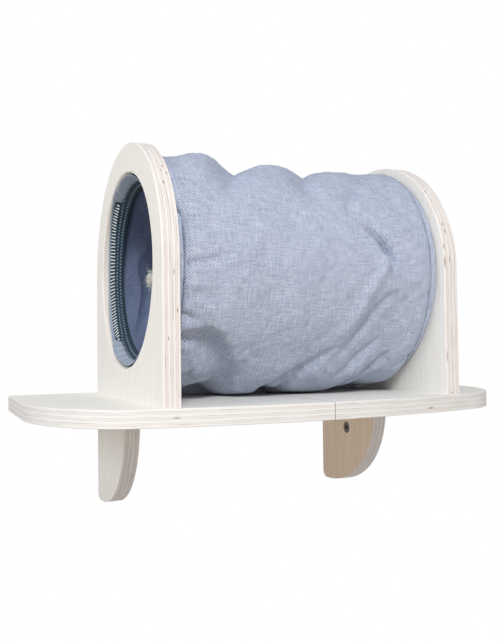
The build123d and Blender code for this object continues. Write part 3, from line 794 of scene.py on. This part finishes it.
# Lining, seen through the holes: soft inward folds that lean like the cover's
lining = {
    "reach": (liningHigh[2] - liningLow[2]) / 2 / mm - 0.4,
    "thicknessMm": 0.9,
    "halfLength": liningHigh[0] / mm - 0.2,
    "columns": 220,
    "rows": 90,
    "foldCount": 10.0,
    "foldMm": 6.0,
    "leanMm": 30.0,
    "foldRadius": 108.0,
    "clothRadius": 107.0,
    "drift": (0.9, 45, 21),        # size, wave and seed, as in the next two
    "slack": (1.1, 50, 11),
    "ripples": ((1.6, 30, 6), (0.7, 12, 9)),
    "calmMm": 7.0,
}


def makeLining(c):
    x, gridX, gridA = tubeGrid(c["halfLength"], c["rows"], c["columns"])
    onTube = aroundAxis(gridX, c["foldRadius"], gridA)
    lean = c["leanMm"] * np.sin(np.radians(gridA))
    turns = c["foldCount"] * (gridX - lean + c["halfLength"]) / (2 * c["halfLength"])
    wave = np.abs(np.sin(np.pi * (turns + ripplesAt(onTube, [c["drift"]]))))
    slack = np.clip(0.7 + ripplesAt(onTube, [c["slack"]]), 0, 1.6)
    calm = np.clip((c["halfLength"] - np.abs(gridX)) / c["calmMm"], 0, 1)
    sunk = c["foldMm"] * (1 - wave) ** 1.5 * slack + np.abs(ripplesAt(onTube, c["ripples"]))
    reach = c["reach"] - calm * sunk
    outer = aroundAxis(gridX * mm, reach * mm, gridA)
    inner = aroundAxis(gridX * mm, (reach - c["thicknessMm"]) * mm, gridA)
    obj = newShell("innerLining", outer, inner, c["rows"], c["columns"], liningCloth)
    along = list(x * mm) + list(x[::-1] * mm)
    addRingUv(obj, c["columns"], 2 * c["rows"], along, 2 * math.pi * c["clothRadius"] * mm)
    return obj


liningPiece = makeLining(lining)
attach(liningPiece, "root")
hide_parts("sleeve_lining")
print("lining and wadding made")


def makeProfileRing(name, profile, columns, material, side, wobble):
    # A closed ring swept round the axis from a section of (place along, reach) points
    degrees = degreesRound(columns)
    verts = []
    for x, reach in profile:
        out, back = wobble(x, reach, degrees)
        verts.append(aroundAxis(side * (x + out), reach + back, degrees))
    faces = tubeFaces(len(profile), columns, closedRows=True)
    obj = newObject(name, np.concatenate(verts), faces, material)
    bm = bmesh.new()
    bm.from_mesh(obj.data)
    bmesh.ops.recalc_face_normals(bm, faces=bm.faces)
    bm.to_mesh(obj.data)
    bm.free()
    lengths = [0.0]
    for (x0, r0), (x1, r1) in zip(profile, profile[1:]):
        lengths.append(lengths[-1] + math.hypot(x1 - x0, r1 - r0))
    addRingUv(obj, columns, len(profile), lengths, 2 * math.pi * profile[0][1])
    return obj


# Hem bands: cloth folded round the hoops, slightly gathered
hem = {
    "width": hemHigh[0] - hemLow[0],
    "outer": (hemHigh[2] - hemLow[2]) / 2,
    "height": 9.0 * mm,
    "sectionPoints": 20,
    "squareness": 0.62,            # 1 gives an ellipse, and less a plumper section
    "columns": 360,
    "gathers": 74,
    "gatherMm": 0.25,
    "slackMm": 1.6,
    "insetMm": 0.4,
    "sunkMm": 3.5,                 # of the left band, where the cover laps over it
}


def hemProfile(h):
    # A plump section, flat where it lies against the arch
    points = []
    for i in range(h["sectionPoints"]):
        angle = 2 * math.pi * i / h["sectionPoints"]
        c, s = (math.copysign(abs(v) ** h["squareness"], v) for v in (math.cos(angle), math.sin(angle)))
        points.append((hemLow[0] + h["width"] / 2 * (1 + c), h["outer"] - h["height"] / 2 * (1 - s)))
    return points


def hemWobble(h, seed):
    def shift(x, reach, degrees):
        angle = np.radians(degrees)
        gather = h["gatherMm"] * np.sin(h["gathers"] * angle + 1.3 * np.sin(5 * angle + seed))
        slack = (0.5 - 0.5 * np.sin(angle + 0.2)) * (0.7 + 0.3 * np.sin(3 * angle + seed))
        outward = 1 if reach > h["outer"] - h["height"] / 2 else 0.3
        sunk = h["sunkMm"] * endLap(degrees) if seed < 0 else 0
        return np.zeros_like(angle), (outward * gather - h["slackMm"] * slack - h["insetMm"] - sunk) * mm
    return shift


for side, label in ((-1, "left"), (1, "right")):
    band = makeProfileRing(f"hemBand{label.capitalize()}", hemProfile(hem), hem["columns"], coverCloth,
                           side, hemWobble(hem, 2.0 * side))
    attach(band, "root")
    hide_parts(f"hem_band_{label}")

# Collars: cloth turned into the hole, painted pale for the light it takes there, rolled and creased at
# the top and the bottom
collar = {
    "start": collarLow[0],
    "end": collarHigh[0],
    "outer": (collarHigh[2] - collarLow[2]) / 2 - 0.2 * mm,
    "thickness": 0.9 * mm,
    "columns": 480,
    "lengthPoints": 26,
    "edgeMm": (2.8, 4.2, 2.2),     # how near the free edges come to the face: all round, and more
                                   # at the top and at the bottom
    "topCover": (0.76, 0.92),      # rise over which the collar comes to lie over the bars
    "bottomCover": (0.66, 0.82),
    "hangMm": (0.7, 8.4),          # of the covering cloth, at its edge and more behind it
    "creases": 44,
    "creaseMm": (0.5, 3.4),
}


def openEdge(degrees):
    # How much nearer to the arch's face the free edges come at the top and at the bottom
    rise = np.sin(np.radians(degrees))
    least, atTop, atBottom = collar["edgeMm"]
    return (least + atTop * softStep(rise, 0.2, 0.8) + atBottom * softStep(-rise, 0.2, 0.8)) * mm


def collarCovers(rise):
    # Share of cover by the collar, which lies over the bars near the top and the bottom
    return softStep(rise, *collar["topCover"]) + softStep(-rise, *collar["bottomCover"])


def pressedBack(x, degrees):
    # How far the covering collar presses the curled strip back to the board
    o = overlock
    curl = np.clip((o["end"] - x) / o["curlIn"], 0, 1)
    deep = np.clip((x - o["start"]) / (o["end"] - o["curlIn"] - o["start"]), 0, 1)
    return o["press"] * curl * deep * softStep(collarCovers(np.sin(np.radians(degrees))), 0, 0.6)


def stripShift(x, reach, degrees):
    share = np.clip((x - overlock["start"]) / (overlock["end"] - overlock["start"]), 0, 1)
    return openEdge(degrees) * share, pressedBack(x, degrees)


def collarShift(x, reach, degrees):
    angle = np.radians(degrees)
    along = (x - collar["start"]) / (collar["end"] - collar["start"])
    behind = np.clip(1 - along, 0, 1)
    ragged = 0.012 * np.sin(31 * angle) + 0.02 * np.sin(7 * angle + 1)
    over = collarCovers(np.sin(angle) + ragged * np.sign(np.sin(angle)))
    under = softStep(-np.sin(angle), -0.3, 0.75)
    crease = 0.5 + 0.5 * np.sin(collar["creases"] * angle + 4 * along + 2 * np.sin(3 * angle))
    pleat = (collar["creaseMm"][0] + collar["creaseMm"][1] * behind) * crease ** 1.6
    hang = collar["hangMm"][0] + collar["hangMm"][1] * behind ** 0.9 + pleat
    tuck = (1 - over) * (0.5 * behind + 0.6 * crease)
    lift = -(over * hang * softStep(along, 0.28, 0.60) + under * tuck) * mm
    edge = (0.4 * np.sin(9 * angle + 1) + 2.0 * over + 1.5 * under) * mm * along
    return edge + openEdge(degrees) * np.clip(along, 0, 1), lift


def collarProfile(c):
    xs = np.linspace(c["start"], c["end"], c["lengthPoints"])
    outside = [(float(x), c["outer"]) for x in xs]
    inside = [(float(x), c["outer"] - c["thickness"]) for x in xs[::-1]]
    return outside + inside


# Overlocked strip inside each collar, with its bars and two rows of chain
overlock = {
    "start": collarLow[0] + 1.5 * mm,
    "end": collarHigh[0] - 2.2 * mm,
    "outer": collar["outer"] - collar["thickness"] - 0.4 * mm,
    "turn": 0.72,                  # share where the curled free edge ends
    "curlIn": 2.6 * mm,
    "freeDrop": 0.6 * mm,
    "turnDrop": 6.2 * mm,
    "seamDrop": 10.6 * mm,
    "press": 4.6 * mm,
    "thickness": 0.7 * mm,
    "columns": 240,
    "pathPoints": 360,
    "bars": {"spacingMm": 4.1, "stitchMm": 6.8, "threadMm": 1.5, "unevenness": 0.12, "seed": 4},
    "chain": {"spacingMm": 4.1, "stitchMm": 1.7, "threadMm": 1.5, "unevenness": 0.2, "seed": 7},
    "barRow": 0.86,                # share across the strip, as in the chains' rows
    "barOffset": (0.2 * mm, 0.1 * mm),
    "chainOffset": 0.2 * mm,
    "slopeRun": 3.2 * mm,          # along the tunnel, as far as the curled edge rises
    "chainRows": (0.50, 0.26),
    "leanDegrees": -8.0,
    "bareTo": (0.82, 0.74),        # rise and fall up to which the bars show
}


def overlockAt(share, o):
    # A place on the strip's face: share 0 is its seam, 1 its free edge, curled to the board
    curl = min((1 - share) / (1 - o["turn"]), 1)
    deep = max(o["turn"] - share, 0) / o["turn"]
    x = o["end"] - o["curlIn"] * curl - (o["end"] - o["start"] - o["curlIn"]) * deep
    drop = o["freeDrop"] + (o["turnDrop"] - o["freeDrop"]) * curl + (o["seamDrop"] - o["turnDrop"]) * deep
    return x, o["outer"] - drop


def overlockProfile(o):
    face = [overlockAt(share, o) for share in (0, 0.2, 0.4, 0.6, 0.68, 0.74, 0.8, 0.86, 0.93, 1)]
    back = [(x + 0.3 * o["thickness"], reach + o["thickness"]) for x, reach in face[::-1]]
    return face + back


def stitchTree():
    # Geometry Nodes: stitches of one thread along a path, leaning by an angle
    tree = bpy.data.node_groups.new("stitchRow", "GeometryNodeTree")
    face = tree.interface
    face.new_socket("Geometry", in_out="INPUT", socket_type="NodeSocketGeometry")
    for name, kind, value in (
        ("Spacing", "Float", 0.004),
        ("Stitch Length", "Float", 0.003),
        ("Thread Radius", "Float", 0.0004),
        ("Lean", "Float", 0.0),
        ("Tip", "Float", 0.0),
        ("Unevenness", "Float", 0.1),
        ("Seed", "Int", 1),
        ("Thread", "Material", None),
    ):
        socket = face.new_socket(name, in_out="INPUT", socket_type="NodeSocket" + kind)
        if value is not None:
            socket.default_value = value
    face.new_socket("Geometry", in_out="OUTPUT", socket_type="NodeSocketGeometry")
    given = addNode(tree, "NodeGroupInput")
    curve = addNode(tree, "GeometryNodeMeshToCurve", Mesh=(given, "Geometry"))
    points = addNode(tree, "GeometryNodeCurveToPoints", {"mode": "LENGTH"}, Curve=curve,
                     Length=(given, "Spacing"))
    # one stitch, a short arc of thread
    half = addNode(tree, "Math", "MULTIPLY", (given, "Stitch Length"), 0.5)
    minus = addNode(tree, "Math", "MULTIPLY", half, -1.0)
    lift = addNode(tree, "Math", "MULTIPLY", (given, "Thread Radius"), 0.6)
    startPoint = addNode(tree, "CombineXYZ", Z=minus)
    middlePoint = addNode(tree, "CombineXYZ", X=lift)
    endPoint = addNode(tree, "CombineXYZ", Z=half)
    arc = addNode(tree, "GeometryNodeCurveQuadraticBezier", Resolution=4, Start=startPoint,
                  Middle=middlePoint, End=endPoint)
    section = addNode(tree, "GeometryNodeCurvePrimitiveCircle", Resolution=6,
                      Radius=(given, "Thread Radius"))
    stitch = addNode(tree, "GeometryNodeCurveToMesh", Curve=arc,
                     **{"Profile Curve": section, "Fill Caps": True})
    smooth = addNode(tree, "GeometryNodeSetShadeSmooth", Geometry=stitch)
    # its turn at each point of the path
    jitter = addNode(tree, "FunctionNodeRandomValue", {"data_type": "FLOAT"}, i2=-1.0, i3=1.0,
                     Seed=(given, "Seed"))
    wobble = addNode(tree, "Math", "MULTIPLY", (jitter, 1), (given, "Unevenness"))
    angle = addNode(tree, "Math", "ADD", (given, "Lean"), wobble)
    lean = addNode(tree, "CombineXYZ", X=angle)
    tip = addNode(tree, "CombineXYZ", Z=(given, "Tip"))
    alongRing = addNode(tree, "FunctionNodeAlignRotationToVector", {"axis": "Z"},
                        Vector=(points, "Tangent"))
    turned = addNode(tree, "FunctionNodeAlignRotationToVector", {"axis": "Y", "pivot_axis": "Z"},
                     Rotation=alongRing, Vector=(1, 0, 0))
    for angles in (tip, lean):
        rotation = addNode(tree, "FunctionNodeEulerToRotation", Euler=angles)
        turned = addNode(tree, "FunctionNodeRotateRotation", {"rotation_space": "LOCAL"},
                         Rotation=turned, **{"Rotate By": rotation})
    placed = addNode(tree, "GeometryNodeInstanceOnPoints", Points=(points, "Points"), Instance=smooth,
                     Rotation=turned)
    real = addNode(tree, "GeometryNodeRealizeInstances", Geometry=placed)
    painted = addNode(tree, "GeometryNodeSetMaterial", Geometry=real, Material=(given, "Thread"))
    addNode(tree, "NodeGroupOutput", Geometry=painted)
    return tree


stitches = stitchTree()


def stitchRow(name, path, material, c, lean=0.0, tip=0.0, shown=None):
    # Stitches along a closed line of points, or along its shown parts, as a plain mesh object
    mesh = bpy.data.meshes.new(name + "Path")
    count = len(path)
    shown = np.ones(count, bool) if shown is None else shown
    edges = [(i, (i + 1) % count) for i in range(count) if shown[i] and shown[(i + 1) % count]]
    mesh.from_pydata([tuple(p) for p in path], edges, [])
    source = newLinked(name + "Path", mesh)
    modifier = source.modifiers.new("stitches", "NODES")
    modifier.node_group = stitches
    sizes = {"Spacing": c["spacingMm"] * mm, "Stitch Length": c["stitchMm"] * mm,
             "Thread Radius": c["threadMm"] * mm / 2, "Lean": lean, "Tip": tip,
             "Unevenness": c["unevenness"], "Seed": c["seed"], "Thread": material}
    for item in stitches.interface.items_tree:
        if item.name in sizes:
            modifier[item.identifier] = sizes[item.name]
    bpy.context.view_layer.update()
    made = bpy.data.meshes.new_from_object(source.evaluated_get(bpy.context.evaluated_depsgraph_get()))
    bpy.data.objects.remove(source)
    obj = newLinked(name, made)
    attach(obj, "root")
    return obj


def ringPath(side, x, reach):
    degrees = degreesRound(overlock["pathPoints"])
    out, back = stripShift(x, reach, degrees)
    return aroundAxis(side * (x + out), reach + back, degrees)


def barsShow(o):
    # True where the collar leaves the bars bare
    rise = np.sin(np.radians(degreesRound(o["pathPoints"])))
    return (rise < o["bareTo"][0]) & (-rise < o["bareTo"][1])


for side, label in ((-1, "Left"), (1, "Right")):
    piece = makeProfileRing(f"collar{label}", collarProfile(collar), collar["columns"], collarClothPaintedLight,
                            side, collarShift)
    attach(piece, "root")
    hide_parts(f"sleeve_collar_{label.lower()}")
    strip = makeProfileRing(f"overlockStrip{label}", overlockProfile(overlock), overlock["columns"],
                            overlockClothPaintedShade, side, stripShift)
    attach(strip, "root")
    barX, barReach = overlockAt(overlock["barRow"], overlock)
    slope = math.atan2(overlock["turnDrop"] - overlock["freeDrop"], overlock["slopeRun"])
    lean = math.radians(90 + overlock["leanDegrees"])
    path = ringPath(side, barX - overlock["barOffset"][0], barReach - overlock["barOffset"][1])
    bars = stitchRow(f"overlockBars{label}", path, thread, overlock["bars"], lean, -side * slope,
                     barsShow(overlock))
    for row, share in enumerate(overlock["chainRows"]):
        chainX, chainReach = overlockAt(share, overlock)
        path = ringPath(side, chainX, chainReach - overlock["chainOffset"])
        chain = stitchRow(f"overlockChain{label}{row + 1}", path, threadGrey,
                          {**overlock["chain"], "seed": overlock["chain"]["seed"] + row})
print("collars and overlocked edges made")

# Wadding that has worked out at the front edge of the left hole: fine bent fibres
tuft = {
    "place": (-0.1737, -0.2410, shelfTop + 0.1235),
    "reach": (0.0020, 0.0090, 0.0080),
    "fibres": 420,
    "fibreMm": 2.8,
    "bend": 1.6,
    "spread": 0.42,
    "threadMm": 0.28,
    "seed": 11,
}


def makeTuft(name, t):
    draw = np.random.default_rng(t["seed"])
    centre, reach = np.array(t["place"]), np.array(t["reach"])
    half = t["threadMm"] * mm / 2
    corners = [2 * math.pi * corner / 3 for corner in range(3)]
    section = [half * np.array([math.cos(a), math.sin(a) * 0.6, math.sin(a)]) for a in corners]
    verts, faces = [], []
    for _ in range(t["fibres"]):
        start = centre + draw.normal(0, t["spread"], 3) * reach
        heading = draw.normal(0, 1, 3)
        bend = draw.normal(0, 1, 3)
        first = len(verts)
        for share in (0, 0.25, 0.5, 0.75, 1):
            direction = heading + t["bend"] * share * bend
            point = start + t["fibreMm"] * mm * share * direction / np.linalg.norm(direction)
            verts += [point + corner for corner in section]
        for step in range(4):
            for corner in range(3):
                a, b = first + 3 * step + corner, first + 3 * step + (corner + 1) % 3
                faces.append((a, b, b + 3, a + 3))
        faces.append((first + 2, first + 1, first))
        faces.append((first + 12, first + 13, first + 14))
    return newObject(name, verts, faces, waddingFibre)


looseWadding = makeTuft("looseWadding", tuft)
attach(looseWadding, "root")
print("loose wadding made")

# Stitched line round each end of the cover, just inside the hem band
seamLine = {
    "insetMm": 3.0,
    "raisedMm": 0.3,
    "points": 400,
    "spacingMm": 3.6,
    "stitchMm": 2.6,
    "threadMm": 0.9,
    "unevenness": 0.06,
    "seed": 3,
}
for side, label in ((-1, "Left"), (1, "Right")):
    degrees = degreesRound(seamLine["points"])
    place = np.full(seamLine["points"], side * (sleeve["halfLength"] - seamLine["insetMm"]))
    reach = sleeveReach(place, degrees, sleeve) + seamLine["raisedMm"]
    path = aroundAxis(place * mm, reach * mm, degrees)
    line = stitchRow(f"hemStitches{label}", path, seamThread, seamLine)

# Floor, light and white background
light = {
    "worldStrength": 0.37,
    "aim": (0, axisY, axisZ - 0.08),
    "lamps": {                     # place, size, power and colour
        "keyLight": ((-0.98, -2.74, 1.62), 0.8, 68.0, "#FFFFFF"),
        "bounceLight": ((-0.25, -1.60, -0.04), 0.5, 1.7, "#FFEBD6"),   # thrown back by a warm floor
        "fillLight": ((-2.3, -0.7, 0.75), 0.9, 15.5, "#FFFFFF"),
    },
    "floorHalf": 3.0,
    "floorDrop": 0.40,
    "floorHex": "#D6CDC4",
}


def makeArea(name, place, size, power, colour):
    data = bpy.data.lights.new(name, "AREA")
    data.color = linear(colour)[:3]
    data.size = size
    data.energy = power
    obj = newLinked(name, data)
    obj.location = place
    view = Vector(light["aim"]) - Vector(place)
    obj.rotation_euler = view.to_track_quat("-Z", "Y").to_euler()


def backgroundRays(tree):
    # 1 for camera, glossy and transmission rays, 0 for the rest
    path = addNode(tree, "LightPath")
    seen = addNode(tree, "Math", "MAXIMUM", (path, "Is Camera Ray"), (path, "Is Glossy Ray"))
    return addNode(tree, "Math", "MAXIMUM", seen, (path, "Is Transmission Ray"))


def makeWorld(strength):
    world = bpy.data.worlds.new("studio")
    bpy.context.scene.world = world
    world.use_nodes = True
    tree = world.node_tree
    amount = addNode(tree, "MapRange", None, backgroundRays(tree), 0.0, 1.0, strength, 1.0)
    setSockets(tree, tree.nodes["Background"], {"Color": (1, 1, 1, 1), "Strength": amount})


def makeFloor(half, drop, colour):
    z = cadBounds[0][2] - drop
    material, tree, shader = newMaterial("paleFloor", 0.8)
    setSockets(tree, shader, {"Base Color": linear(colour)})
    glow = addNode(tree, "Emission", Color=(1, 1, 1, 1), Strength=1.0)
    mix = addNode(tree, "MixShader", Fac=backgroundRays(tree), i1=shader, i2=glow)
    setSockets(tree, tree.nodes["Material Output"], {"Surface": mix})
    corners = [(-half, -half, z), (half, -half, z), (half, half, z), (-half, half, z)]
    floor = newObject("floor", corners, [(0, 1, 2, 3)], material, smooth=False)


makeWorld(light["worldStrength"])
for name, lamp in light["lamps"].items():
    makeArea(name, *lamp)
makeFloor(light["floorHalf"], light["floorDrop"], light["floorHex"])
bpy.context.scene.view_settings.view_transform = "Standard"
print("light and floor set")
